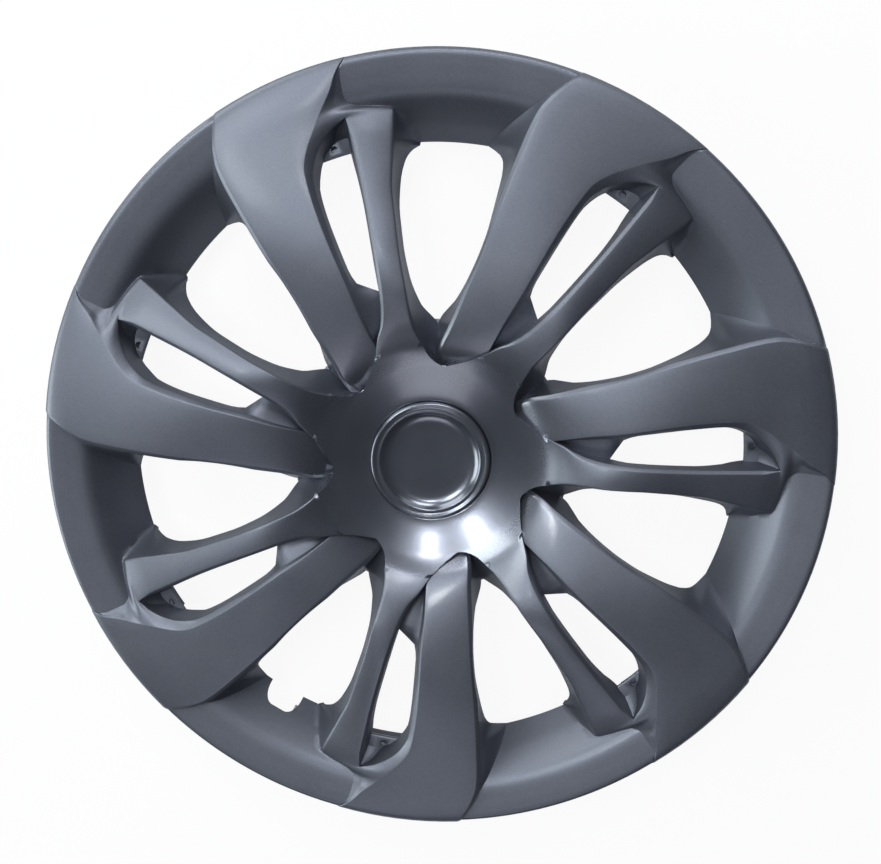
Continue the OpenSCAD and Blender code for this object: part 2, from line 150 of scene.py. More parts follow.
# Lines of the show face, as (radius in mm, angle in degrees) and (radius, height above the rim edge).
LINES = {
    "lead deg": [(50, 27), (61, 24.6), (70, 22), (84, 19.6), (105, 17.4), (130, 16), (154, 14.9),
                 (177, 13.7), (187, 12.2), (193, 11), (199, 9.8)],
    "lead z": [(50, -20), (56, -15.5), (61, -12.6), (70, -9.2), (84, -5.6), (98, -2.9), (112, -0.8),
               (126, 0.9), (140, 2), (160, 2.6), (187, 2.9), (193, 2.4), (197, 1.5), (199, 0)],
    "trail deg": [(50, 3.9), (79.5, 3.9), (98, 3.3), (130, 2.9), (148, 2.2), (155.6, 1.7), (163.3, 0.2),
                  (170, -1.7), (176.4, -3.5), (186, -6.2), (192, -7.3), (199, -9)],
    "trail z": [(50, -18), (60, -12.2), (70, -7.9), (84, -3.2), (98, 0), (112, 1.7), (126, 2.3),
                (145, 2), (160, 1.5), (175, 0.9), (187, 0.8), (193, 0.7), (197, 0.3), (199, -0.8)],
    "lead foot deg": [(50, 30), (66, 29), (74, 27), (84, 22.2), (96, 19.5), (110, 17.9), (122, 17.3),
                      (145, 17.2), (153, 17.6), (157.5, 18.8), (160, 20.8), (162, 20.3), (175, 16.5),
                      (181, 14.7), (187, 12.9), (193, 11.6), (199, 10.3)],
    "lead foot z": [(50, -25.8), (74, -24), (84, -16.8), (96, -12), (110, -8.7), (122, -8.1),
                    (134, -9.3), (145, -14.4), (153, -21.6), (158, -28), (160, -30)],
    "bevel deg": [(50, 3.3), (70, 3.3), (99, 2), (112, 2.1), (131, 1.7), (148.6, 1.1), (157.6, -0.3),
                  (165.5, -2.8), (170, -5.1), (173, -7.4), (175, -7.8), (178, -6.4), (182, -6.3),
                  (186, -6.9), (192, -7.6), (199, -9.2)],
    "bevel z": [(50, -19), (60, -13.4), (70, -9.3), (84, -5.2), (98, -2.2), (112, -0.6), (126, -0.1),
                (145, -0.6), (157.6, -1.2), (165, -1.6), (170, -1.9), (173, -2), (175, -2), (178, -1.9),
                (182, -1.6), (187, -1), (193, -0.2), (197, -0.2), (199, -1.3)],
    "slit foot deg": [(50, 2.7), (68, 2.2), (72, -1.8), (78, -3.8), (84, -5), (88, -5.5), (91, -5),
                      (94, -2.4), (97, 0.4), (101, 1.2), (106, 1.5), (123, 1.4), (144, 0.9),
                      (154, -0.4), (161, -2.3), (165.5, -4.8), (173, -7.2)],
    "slit depth": [(50, 4), (72, 3.9), (88, 3.9), (97, 4.6), (130, 4.8), (145, 7.2), (153, 11),
                   (160, 12.4), (163, 12), (167, 8.6), (170, 5.4), (173, 1.6)],
    "blade slit depth": [(50, 9), (72, 9.4), (88, 9.2), (100, 5.2), (130, 4.8), (145, 7), (153, 10.4),
                         (160, 12), (163, 11.6), (167, 8.2), (170, 5.2), (173, 1.4)],
    "blade lead deg": [(50.3, 22.3), (50.9, 20.9), (51.6, 19.2), (54.3, 13.8), (57, 10), (62, 5.2),
                       (66, 3), (69.5, 1.2), (73.5, -1.2), (79, -3.2), (85.5, -4.6), (98, -5.9),
                       (110, -6.6), (140, -7.3), (173, -7.4)],
    "blade lead z": [(45, -15.35), (50.3, -13.8), (58, -10.9), (66, -7.1), (73.5, -3.6), (80, -0.9),
                     (88, 1.8), (96, 3.5), (104, 4), (113, 3.4), (127, 1.6), (150, -0.6), (173, -2)],
    "blade trail deg": [(50.3, 22.3 - PITCH), (50.9, -26.6), (52, -24), (54.3, -21), (57, -19),
                        (61, -17.2), (66, -15.4), (75, -14), (90, -13.6), (110, -13.1), (134, -13.1),
                        (152, -14), (173, -14.8), (174.3, -14.6), (176, -12), (178, -9), (182, -7.8),
                        (192, -8), (199, -9.5)],
    "blade trail z": [(45, -15.35), (50.3, -13.8), (58, -10.7), (66, -6.4), (75, -1.8), (83, 1.2),
                      (91, 2.9), (98, 3), (108, 2), (130, -1.2), (150, -4), (173, -8), (174.3, -8.6),
                      (176, -7.4), (178, -6), (181, -4.2), (184, -3.15), (187, -2.3), (193, -0.7),
                      (197, 0.1), (198.2, -0.3), (199, -1.6)],
    "blade foot deg": [(50, -30), (61, -28), (71, -23.4), (81.5, -17.2), (96, -14.6), (111, -14),
                       (124, -14), (140, -14.7), (151, -15.8), (156, -17), (159, -18.6), (162, -18.2),
                       (173, -15.6), (174.3, -15.4), (176, -13), (178, -9.7), (182, -8.4), (192, -8.5),
                       (199, -10)],
    "blade foot z": [(50, -25.8), (71, -24), (81.5, -16.8), (96, -10.8), (111, -8.1), (124, -8.4),
                     (140, -12.6), (151, -20.4), (156, -25.8), (160, -30)],
    "rim z": [(160, -30), (164, -24.1), (168, -18), (174.3, -9.8), (178, -6), (181, -4.2), (184, -3.15),
              (187, -2.3), (193, -0.7), (197, 0.1), (198.2, -0.3), (199, -1.6)],
}

# The hub's dish from the cap's bore to the star, as (radius, height above the rim edge)
HUB_DISH = ((15, -22), (31.0, -22), (31.5, -21.6), (31.5, -19.4), (31.6, -18.9), (31.9, -18.68),
            (32.4, -18.61), (33, -18.51), (34.5, -18.2), (36, -17.84), (38, -17.33), (40, -16.78),
            (42.5, -16.07), (45, -15.35), (47.5, -14.62), (49.4, -14.07), (50.1, -13.86))

# How far the skirt below the rim edge stands out, and how far it has gone down there
SKIRT = ((0.05, 1.0), (0, 2.0), (0, 4.5), (0, 8.2))

# Turned and prismatic profiles behind the show face, as (radius, height above the floor)
HUB_BACK = ((15, 25.9), (32, 25.9), (34.4, 25.2), (72, 22.3), (73, 22.2), (73, 19.9), (33.9, 23.65),
            (15, 23.65))
CAP = ((31.22, 26.02), (31.22, 30.4), (31.15, 31.1), (30.9, 31.7), (30.45, 32.15), (29.9, 32.34),
       (29.3, 32.25), (28.8, 31.95), (28.1, 31.7), (27.4, 31.62), (26.9, 31.72), (26.4, 31.76),
       (25.95, 31.55), (25.6, 31.15), (25, 30.5), (24.1, 29.8), (23, 29.25), (21.6, 28.85), (20, 28.62),
       (16, 28.42), (9, 28.2), (0, 28.1), (0, 22.6), (12.35, 22.6), (12.35, 19.05), (14.7, 19.05),
       (14.7, 26.02))
LEDGE = ((179.6, 32.7), (159, 32.7), (158.2, 33.2), (158, 33.8), (158.2, 34.5), (158.9, 34.96),
         (179.6, 34.96))
GUSSET = ((177.2, 33), (179.3, 33), (179.3, 31.8), (178.2, 24), (177.2, 24))

# The slots that split the cap's spigot, from above, and their heights
SLOT = ((-31, -1), (31, -1), (31, 1), (-31, 1))
SLOT_HEIGHTS = (18, 25.5)

# The clip's profile before and after its groove, with radii counted from CLIP_R, and its rounded corners
CLIP_BACK = ((0, 34), (4.2, 34), (3.2, 15), (4.66, 9), (2.6, 0.03), (-1, 0.03), (-1.6, 5))
CLIP_FRONT = ((-1.6, 13), (0, 16))
CLIP_CORNERS = {3: 1.2, 4: 0.9, 5: 0.9}

# Name, place in m, size in m (one number for a round lamp), brightness and tint of each studio light
LAMPS = (
    ("left_softbox", (-1.79, 0.00, 0.65), (1.2, 1.2), 4.7, (0.93, 1.0, 0.97)),
    ("far_left_softbox", (-0.89, 1.55, 0.65), (1.2, 1.2), 3.6, (0.95, 1.0, 0.98)),
    ("far_right_softbox", (0.89, 1.55, 0.65), (1.2, 1.2), 1.0, (0.96, 1.0, 0.98)),
    ("high_far_lamp", (0.29, 1.10, 1.26), (0.6, 0.6), 7.4, (0.96, 0.98, 1.0)),
    ("high_near_lamp", (-0.29, -1.10, 1.26), (0.6, 0.6), 1.8, (0.95, 0.96, 1.0)),
    ("window", (-0.50, 0.52, 1.35), (0.45, 0.42), 8.0, (0.94, 1.0, 0.99)),
    ("round_lamp_left", (-0.44, 0.30, 1.55), 0.17, 30.0, (0.97, 1.0, 1.0)),
    ("round_lamp_right", (-0.03, 0.43, 1.61), 0.17, 36.0, (0.97, 1.0, 1.0)),
)

# The point in m that every lamp faces, and half the width of the floor in m
LAMPS_FACE = (0, 0, 0.03)
FLOOR_HALF = 6

# The camera as fitted to the photograph: place in m, turns about its x, y and z, lens and film
CAMERA_AT = (0.0397, 0.1020, 0.5030)
CAMERA_TURNS = (12.379, -4.708, 7.907)
CAMERA_LENS = 38.0
CAMERA_FILM = 36.0
CAMERA_SHIFT = (0.0415, 0.0273)


def smooth_line(points):
    """A curve through the points that never swings past them."""
    x, y = (np.array(c, float) for c in zip(*points))
    h, d = np.diff(x), np.diff(y) / np.diff(x)
    m = np.zeros(len(x))
    for i in range(1, len(x) - 1):
        if d[i - 1] * d[i] > 0:
            a, b = 2 * h[i] + h[i - 1], h[i] + 2 * h[i - 1]
            m[i] = (a + b) / (a / d[i - 1] + b / d[i])
    m[0], m[-1] = d[0], d[-1]

    def at(r):
        r = min(max(r, x[0]), x[-1])
        i = min(int(np.searchsorted(x, r, "right")) - 1, len(x) - 2)
        t = (r - x[i]) / h[i]
        return float((1 + 2 * t) * (1 - t) ** 2 * y[i] + t * (1 - t) ** 2 * h[i] * m[i]
                     + t * t * (3 - 2 * t) * y[i + 1] + t * t * (t - 1) * h[i] * m[i + 1])
    return at


CURVES = {name: smooth_line(points) for name, points in LINES.items()}


def at(name, r):
    return CURVES[name](r)


def ramp(value, low, high):
    return min(1.0, max(0.0, (value - low) / (high - low)))


def grown(r, start, least, low, high):
    """Nothing up to the start, and from there a share that grows from the least one to 1."""
    return max(least, ramp(r, low, high)) if r > start else 0.0


def to_mm(r, deg):
    return math.radians(deg) * r


def edge_point(name, r):
    """Where a line of the show face crosses the section at a radius."""
    return np.array((to_mm(r, at(name + " deg", r)), at(name + " z", r)))


def foot_height(name, r):
    """Height of a wall's foot, which is on the rim from the window edge outwards."""
    return at("rim z" if r > WINDOW_R else name + " foot z", r)


def rounded(points, sizes, spans=ARC_SPANS):
    """Replaces each corner that has a size by a short arc; every row keeps the same count of points."""
    out = []
    for i, p in enumerate(points):
        size = sizes.get(i)
        if size is None:
            out.append(p)
            continue
        a, b = np.array(points[i - 1]) - p, np.array(points[i + 1]) - p
        a *= min(size, ARC_SHARE * np.linalg.norm(a)) / max(np.linalg.norm(a), 1e-9)
        b *= min(size, ARC_SHARE * np.linalg.norm(b)) / max(np.linalg.norm(b), 1e-9)
        for k in range(spans + 1):
            t = k / spans
            out.append(np.array(p) + a * (1 - t) ** 2 + b * t * t)
    return out


def wall_points(top, foot, count, hollow=WALL_HOLLOW):
    """A slightly hollow wall from its top edge down to its foot, without its two ends."""
    top, foot = np.array(top), np.array(foot)
    pull = np.array([top[0] * 0.75 + foot[0] * 0.25, top[1] * 0.3 + foot[1] * 0.7])
    middle = (top + foot) / 2 + (pull - (top + foot) / 2) * hollow * 4
    return [top * (1 - t) ** 2 + 2 * middle * t * (1 - t) + foot * t * t
            for t in (k / (count + 1) for k in range(1, count + 1))]


def crowned(a, b, spans, crown):
    """The points between two edges, raised in the middle by the crown, without the two ends."""
    a, b = np.array(a), np.array(b)
    return [a + (b - a) * k / spans + np.array((0, 4 * crown * k / spans * (1 - k / spans)))
            for k in range(1, spans)]


def paddle_row(r, soft):
    """Section of a paddle from the foot of its leading wall over the top to the foot of its slit wall."""
    flat = max(0.3, ramp(DRAWN_RIM_R - r, 0, 17))
    fade = ramp(SLIT_END_R - r, 0, 4)
    lead, trail, bevel = edge_point("lead", r), edge_point("trail", r), edge_point("bevel", r)
    foot = np.array((to_mm(r, at("lead foot deg", r)), foot_height("lead", r)))
    edge = lead + np.array((min(LEAD_CHAMFER[0], (foot[0] - lead[0]) * 0.8), -LEAD_CHAMFER[1] * flat))

    # The slit's wall stands steeper towards the slit's outer end, where it gets shallow.
    depth = at("slit depth", r)
    slit = np.array((to_mm(r, min(at("slit foot deg", r), at("bevel deg", r) - 0.1)), bevel[1] - depth))
    slit[0] += (bevel[0] - slit[0]) * ramp(r, 150, 165) * (1 - depth / 13)

    points = [foot, *reversed(wall_points(edge, foot, WALL_POINTS)), edge, lead,
              *crowned(lead, trail, TOP_SPANS, TOP_CROWN * flat), trail,
              *crowned(trail, bevel, BEVEL_SPANS, BEVEL_CROWN), bevel,
              *wall_points(bevel, slit, SLIT_WALL_POINTS, PADDLE_SLIT_HOLLOW), slit]
    first = WALL_POINTS + 1
    return rounded(points, {
        first: LIGHT_ARC * soft * flat,
        first + 1: FULL_ARC * soft * flat,
        first + 1 + TOP_SPANS: LIGHT_ARC * soft * flat,
        first + 1 + TOP_SPANS + BEVEL_SPANS: FULL_ARC * soft * fade,
    })


def blade_row(r, soft):
    """Section of a blade from the foot of its slit wall over the top to the foot of its trailing wall."""
    lead_name = "bevel" if r >= SLIT_END_R else "blade lead"
    chamfer = ramp(SLIT_END_R - r, 0, 8) * grown(r, 61, 0.1, 60, 76)
    top = edge_point(lead_name, r) - np.array((BLADE_CHAMFER[0] * chamfer, 0))
    lead = top + np.array((BLADE_CHAMFER[0] * chamfer, -BLADE_CHAMFER[1] * chamfer))
    trail = edge_point("blade trail", r)
    depth = at("blade slit depth", r)
    slit = lead + np.array(((0.08 + 0.14 * ramp(r, 88, 105)) * depth, -depth))
    foot_deg = min(at("blade foot deg", r), at("blade trail deg", r) - 0.3)
    foot = np.array((to_mm(r, foot_deg), foot_height("blade", r)))

    crown = TOP_CROWN * ramp(r, 60, 84) * ramp(184 - r, 0, 20)
    slit_arc = LIGHT_ARC * soft * ramp(SLIT_END_R - r, 0, 4) * grown(r, 61, 0.25, 61, 72)
    trail_arc = BLADE_TRAIL_ARC * soft * grown(r, 62, 0.15, 60, 70)
    trail_arc *= max(0.3, ramp(DRAWN_RIM_R - r, 0, 20))
    points = [slit, *reversed(wall_points(lead, slit, SLIT_WALL_POINTS, BLADE_SLIT_HOLLOW)), lead, top,
              *crowned(top, trail, TOP_SPANS, crown), trail, *wall_points(trail, foot, WALL_POINTS), foot]
    first = SLIT_WALL_POINTS + 1
    return rounded(points, {first: slit_arc, first + 1: slit_arc, first + 1 + TOP_SPANS: trail_arc})


def scoop_row(r, soft):
    """The hollow floor that rises from the ledge to the slit's outer end, between its walls' feet."""
    near, far = paddle_row(r, soft)[-1], blade_row(r, soft)[0]
    sag = SCOOP_SAG * abs(near[0] - far[0])
    return [near + (far - near) * t - np.array((0, 4 * sag * t * (1 - t)))
            for t in (k / SCOOP_SPANS for k in range(SCOOP_SPANS + 1))]


# Shares of the way across a cove, closer together where one cove has the notch
COVE_COLUMNS = [0, 0.04, 0.08, *np.linspace(*NOTCH_SHARES, NOTCH_COLUMNS), 0.77, 0.82, 0.88, 0.94, 1]


def cove_span(r):
    """Angles of the cove's two ends, at the feet of the last paddle's wall and of the blade's wall."""
    return at("lead foot deg", r) - PITCH, math.degrees(blade_row(r, 1)[-1][0] / r)


def cove_row(r):
    start, stop = cove_span(r)
    return [np.array((to_mm(r, start + (stop - start) * t), at("rim z", r))) for t in COVE_COLUMNS]


def notch_edge(count):
    """Points along the cut that clears the tyre valve, as (radius, angle), evenly spaced."""
    ring = [(math.sqrt(WINDOW_R ** 2 - (NOTCH_HALF + NOTCH_CORNER) ** 2), -NOTCH_HALF - NOTCH_CORNER)]
    for side, turns in ((-1, range(0, 91, 6)), (1, range(90, -1, -6))):
        ring += [(NOTCH_R + NOTCH_CORNER * math.sin(math.radians(a)),
                  side * (NOTCH_HALF + NOTCH_CORNER * math.cos(math.radians(a)))) for a in turns]
    ring.append((ring[0][0], -ring[0][1]))
    ring = np.array(ring)
    far = np.concatenate(([0], np.cumsum(np.hypot(*np.diff(ring, axis=0).T))))
    even = np.linspace(0, far[-1], count)
    return [(math.hypot(x, y), NOTCH_DEG + math.degrees(math.atan2(y, x)))
            for x, y in zip(np.interp(even, far, ring[:, 0]), np.interp(even, far, ring[:, 1]))]


def notched_cove():
    """Rows of the one cove whose inner edge runs round the notch."""
    edge = notch_edge(NOTCH_COLUMNS)
    first, last = (COVE_COLUMNS.index(share) for share in NOTCH_SHARES)
    rows = [[] for _ in range(NOTCH_ROWS + 1)]
    for j, t in enumerate(COVE_COLUMNS):
        low, cut_deg = edge[min(max(j - first, 0), NOTCH_COLUMNS - 1)]
        low = low if first <= j <= last else WINDOW_R
        start, stop = cove_span(low)
        inner = (cut_deg - start) / (stop - start)
        if j < first:
            inner *= t / NOTCH_SHARES[0]
        elif j > last:
            inner += (1 - inner) * (t - NOTCH_SHARES[1]) / (1 - NOTCH_SHARES[1])
        for k, row in enumerate(rows):
            share = k / NOTCH_ROWS
            r = low + (SLIT_END_R - low) * share
            start, stop = cove_span(r)
            deg = start + (stop - start) * (inner + (t - inner) * share)
            row += place(r, [(to_mm(r, deg), at("rim z", r))])
    return rows


def place(r, row):
    """Turns a section into points in space, in metres, and draws the rim in to its true radius."""
    scale = 1 + (RIM_R / DRAWN_RIM_R - 1) * ramp(r, RIM_ROLL_R, DRAWN_RIM_R)
    return [(r * scale * math.cos(s / r) * MM, r * scale * math.sin(s / r) * MM, (z + RIM_HEIGHT) * MM)
            for s, z in row]


def turn_points(points, deg):
    """Turns points round the axis."""
    c, s = math.cos(math.radians(deg)), math.sin(math.radians(deg))
    return [(x * c - y * s, x * s + y * c, z) for x, y, z in points]


def circle(r, z, size, angles):
    """Points of (radius, height) on a circle whose middle lies at r, z."""
    return [(r + size * math.cos(math.radians(a)), z + size * math.sin(math.radians(a))) for a in angles]


def steps(*spans):
    """Radii: each span is (from, to, step)."""
    out = []
    for low, high, step in spans:
        out += list(np.linspace(low, high, max(1, round((high - low) / step)), endpoint=False))
    return out + [spans[-1][1]]


def link(name, points, faces):
    """Makes an object of points in metres and faces."""
    mesh = bpy.data.meshes.new(name)
    mesh.from_pydata([tuple(p) for p in points], [], faces)
    obj = bpy.data.objects.new(name, mesh)
    bpy.context.scene.collection.objects.link(obj)
    return obj


class Skin:
    """Collects strips of quads, turned round the axis once for each pair, into one mesh."""

    def __init__(self):
        self.points, self.faces = [], []

    def strip(self, rows):
        """Adds rows of points, each joined to the next by quads."""
        start, width = len(self.points), len(rows[0])
        for row in rows:
            self.points += row
        for i in range(len(rows) - 1):
            for j in range(width - 1):
                a = start + i * width + j
                self.faces.append((a, a + 1, a + width + 1, a + width))

    def round(self):
        """Repeats what is there for every pair."""
        base, faces = list(self.points), list(self.faces)
        for k in range(1, PAIRS):
            self.points += turn_points(base, k * PITCH)
            self.faces += [tuple(i + k * len(base) for i in f) for f in faces]

    def shell(self, name, wall):
        """The mesh with its strips welded together and a wall of so many metres added behind it."""
        obj = link(name, self.points, self.faces)
        obj.modifiers.new("Weld", "WELD").merge_threshold = WELD * MM
        solid = obj.modifiers.new("Wall", "SOLIDIFY")
        solid.thickness, solid.offset = wall, -1
        return obj


def settle(obj, angle):
    """Applies the modifiers and shades the mesh smooth up to an angle."""
    graph = bpy.context.evaluated_depsgraph_get()
    mesh = bpy.data.meshes.new_from_object(obj.evaluated_get(graph))
    for modifier in obj.modifiers:
        if modifier.type == "BOOLEAN":
            bpy.data.objects.remove(modifier.object)
    obj.modifiers.clear()
    obj.data = mesh
    mesh.shade_smooth()
    mesh.set_sharp_from_angle(angle=math.radians(angle))
    return obj


def lathe(name, profile, segments, start=0.0, stop=360.0):
    """Turns a closed profile of (radius, height) in mm round the axis; a part turn gets end faces."""
    whole = stop - start >= 360
    n, count = len(profile), segments + (0 if whole else 1)
    points, faces = [], []
    for k in range(count):
        a = math.radians(start + (stop - start) * k / segments)
        points += [(r * math.cos(a) * MM, r * math.sin(a) * MM, z * MM) for r, z in profile]
    for k in range(segments):
        m = (k + 1) % count
        faces += [(k * n + j, m * n + j, m * n + (j + 1) % n, k * n + (j + 1) % n) for j in range(n)]
    if not whole:
        faces += [tuple(range(n)), tuple(range(segments * n + n - 1, segments * n - 1, -1))]
    return link(name, points, faces)


def prism(name, outline, low, high, deg=0.0, lying=False):
    """A solid between two like outlines at two heights, or at two places along y where it lies."""
    n = len(outline)
    layers = [(x, level, y) if lying else (x, y, level) for level in (low, high) for x, y in outline]
    faces = [tuple(range(n - 1, -1, -1)), tuple(range(n, 2 * n))]
    faces += [(j, (j + 1) % n, n + (j + 1) % n, n + j) for j in range(n)]
    obj = link(name, [(x * MM, y * MM, z * MM) for x, y, z in layers], faces)
    obj.data.transform(Matrix.Rotation(math.radians(deg), 4, "Z"))
    return obj


def subtract(obj, tool):
    """Cuts one object out of another once its modifiers are applied."""
    hole = obj.modifiers.new("Hole", "BOOLEAN")
    hole.operation, hole.solver, hole.object = "DIFFERENCE", "EXACT", tool


def turned(obj, count):
    """Repeats the object's mesh round the axis."""
    mesh = obj.data
    base = bmesh.new()
    base.from_mesh(mesh)
    whole = bmesh.new()
    for k in range(count):
        copy = bpy.data.meshes.new("turn")
        base.to_mesh(copy)
        copy.transform(Matrix.Rotation(math.radians(k * 360 / count), 4, "Z"))
        whole.from_mesh(copy)
        bpy.data.meshes.remove(copy)
    whole.to_mesh(mesh)
    base.free()
    whole.free()
    return obj


def joined(first, *others):
    """Adds the meshes of the other objects to the first and removes those objects."""
    whole = bmesh.new()
    whole.from_mesh(first.data)
    for other in others:
        whole.from_mesh(other.data)
        bpy.data.objects.remove(other)
    whole.to_mesh(first.data)
    whole.free()
    return first


class Value:
    """The output of a shader node, which takes part in sums as a number does."""

    def __init__(self, shader, socket):
        self.shader, self.socket = shader, socket

    def _sum(self, operation, a, b):
        return self.shader.node("Math", {"operation": operation}, {0: a, 1: b})

    def __add__(self, other):
        return self._sum("ADD", self, other)

    def __radd__(self, other):
        return self._sum("ADD", other, self)

    def __sub__(self, other):
        return self._sum("SUBTRACT", self, other)

    def __rsub__(self, other):
        return self._sum("SUBTRACT", other, self)

    def __mul__(self, other):
        return self._sum("MULTIPLY", self, other)

    def __rmul__(self, other):
        return self._sum("MULTIPLY", other, self)


class Shader:
    """The nodes of a material or of the world, built anew."""

    def __init__(self, owner):
        owner.use_nodes = True
        self.owner, self.tree = owner, owner.node_tree
        self.tree.nodes.clear()

    def node(self, kind, settings=None, inputs=None, output=0):
        """Adds a node, sets it up, feeds its sockets, and gives one of its outputs."""
        node = self.tree.nodes.new("ShaderNode" + kind)
        for key, value in (settings or {}).items():
            if key == "stops":
                for element, (position, shade) in zip(node.color_ramp.elements, value):
                    element.position, element.color = position, (shade, shade, shade, 1)
            else:
                setattr(node, key, value)
        for key, value in (inputs or {}).items():
            if isinstance(value, Value):
                self.tree.links.new(value.socket, node.inputs[key])
            else:
                node.inputs[key].default_value = value
        return Value(self, node.outputs[output]) if len(node.outputs) else None

    def mix(self, factor, a, b):
        """Mixes two colours."""
        return self.node("Mix", {"data_type": "RGBA"}, {0: factor, 6: a, 7: b}, 2)

    def noise(self, place, scale, detail=2.0, rough=0.5):
        return self.node("TexNoise", {}, {"Vector": place, "Scale": scale, "Detail": detail,
                                          "Roughness": rough})

    def between(self, low, high, value):
        """A mask that rises from 0 to 1 between two levels of a value."""
        return self.node("ValToRGB", {"stops": [(low, 0.0), (high, 1.0)]}, {"Fac": value})

    def surface(self, shader, output="OutputMaterial"):
        """Ends the nodes with a shader and gives back what they belong to."""
        self.node(output, {}, {"Surface": shader})
        return self.owner


def material_named(name):
    """The material with this name, which pieces share."""
    return bpy.data.materials.get(name) or bpy.data.materials.new(name)


def colour(rgb):
    return (*rgb, 1.0)


def paint(look):
    """Satin metallic grey with flakes, an uneven spray, orange peel, haze outside the dish, and dust."""
    s = Shader(material_named("satin_metallic_paint"))
    place = s.node("TexCoord", {}, {}, "Object")
    flakes = s.node("TexVoronoi", {"feature": "F1"}, {"Vector": place, "Scale": 2600.0}, "Color")
    flake = s.node("SeparateColor", {}, {"Color": flakes}, 0)
    cloud = s.noise(place, 16.0, 3.0)
    grain = s.noise(place, 900.0, 2.0)
    peel = s.noise(place, 420.0, 2.0, 0.4)
    specks = s.between(0.70, 0.80, s.noise(place, 260.0, 6.0, 0.65))
    patches = s.between(0.42, 0.70, s.noise(place, 34.0, 5.0, 0.6))
    dust = look.dust * (0.6 * patches + 0.8 * specks)
    level = s.node("VectorMath", {"operation": "MULTIPLY"}, {0: place, 1: (1.0, 1.0, 0.0)})
    reach = s.node("VectorMath", {"operation": "LENGTH"}, {0: level}, 1)
    haze = s.node("MapRange", {"interpolation_type": "SMOOTHSTEP"},
                  {"Value": reach + 0.006 * (cloud - 0.5), "From Min": 0.052, "From Max": 0.085})
    tone = 0.5 + look.flake * (flake - 0.5) + 0.22 * (cloud - 0.5) + 0.06 * (grain - 0.5)
    base = s.mix(tone, colour([c * 0.72 for c in look.paint]), colour([c * 1.28 for c in look.paint]))
    base = s.mix(dust, base, colour((0.42, 0.42, 0.40)))
    bump = s.node("Bump", {}, {"Strength": 0.03, "Distance": 0.0002, "Height": peel})
    return s.surface(s.node("BsdfPrincipled", {}, {
        "Base Color": base,
        "Metallic": 0.82 - 0.7 * dust,
        "Roughness": (look.roughness + look.haze * haze + 0.06 * (cloud - 0.5) + 0.02 * (flake - 0.5)
                      + 0.4 * dust),
        "Coat Weight": 0.84 - 0.76 * haze - 0.15 * dust,
        "Coat Roughness": 0.12,
        "Normal": bump,
    }))


def drawn_wire(look):
    """Bright drawn spring steel with fine lines round it and a little grey film."""
    s = Shader(material_named("drawn_spring_wire"))
    place = s.node("TexCoord", {}, {}, "Object")
    film = s.noise(place, 90.0, 5.0, 0.6)
    fine = s.noise(place, 2200.0, 2.0)
    base = s.mix(0.5 * film, colour(look.wire), colour([c * 0.55 for c in look.wire]))
    bump = s.node("Bump", {}, {"Strength": 0.15, "Distance": 0.0001, "Height": fine})
    return s.surface(s.node("BsdfPrincipled", {}, {
        "Base Color": base, "Metallic": 0.95, "Roughness": 0.28 + 0.22 * film, "Normal": bump}))


def finish_with(obj, material):
    """Gives the piece its material."""
    obj.data.materials.clear()
    obj.data.materials.append(material)


class TrimLook(bpy.types.PropertyGroup):
    """Sizes and colours of the dressing"""

    paint: FloatVectorProperty(
        name="Paint", description="Colour of the metallic paint", subtype="COLOR", size=3,
        default=(0.150, 0.160, 0.198))
    roughness: FloatProperty(
        name="Satin", description="Roughness of the paint in the sheltered hub dish",
        subtype="FACTOR", default=0.25, min=0.1, max=0.8)
    haze: FloatProperty(
        name="Haze", description="Roughness that wear adds outside the dish",
        subtype="FACTOR", default=0.21, min=0, max=0.4)
    flake: FloatProperty(
        name="Flake", description="How much the flakes differ in tone",
        subtype="FACTOR", default=0.30, min=0, max=1)
    dust: FloatProperty(
        name="Dust", description="Amount of fine dust on the paint",
        subtype="FACTOR", default=0.05, min=0, max=0.5)
    softness: FloatProperty(
        name="Edge softness", description="Size of the moulded edges' rounding, 1 is as moulded",
        subtype="FACTOR", default=1.0, min=0.2, max=2)
    wall: FloatProperty(
        name="Wall", description="Thickness of the moulded shell",
        unit="LENGTH", precision=5, default=2.4 * MM, min=1.5 * MM, max=3 * MM)
    wire_radius: FloatProperty(
        name="Wire radius", description="Half the thickness of the spring wire",
        unit="LENGTH", precision=5, default=1.98 * MM, min=1 * MM, max=GROOVE_SIZE * MM)
    wire: FloatVectorProperty(
        name="Wire", description="Colour of the spring wire", subtype="COLOR", size=3,
        default=(0.56, 0.56, 0.57))
    floor: FloatVectorProperty(
        name="Floor", description="Colour of the floor", subtype="COLOR", size=3,
        default=(0.86, 0.86, 0.87))


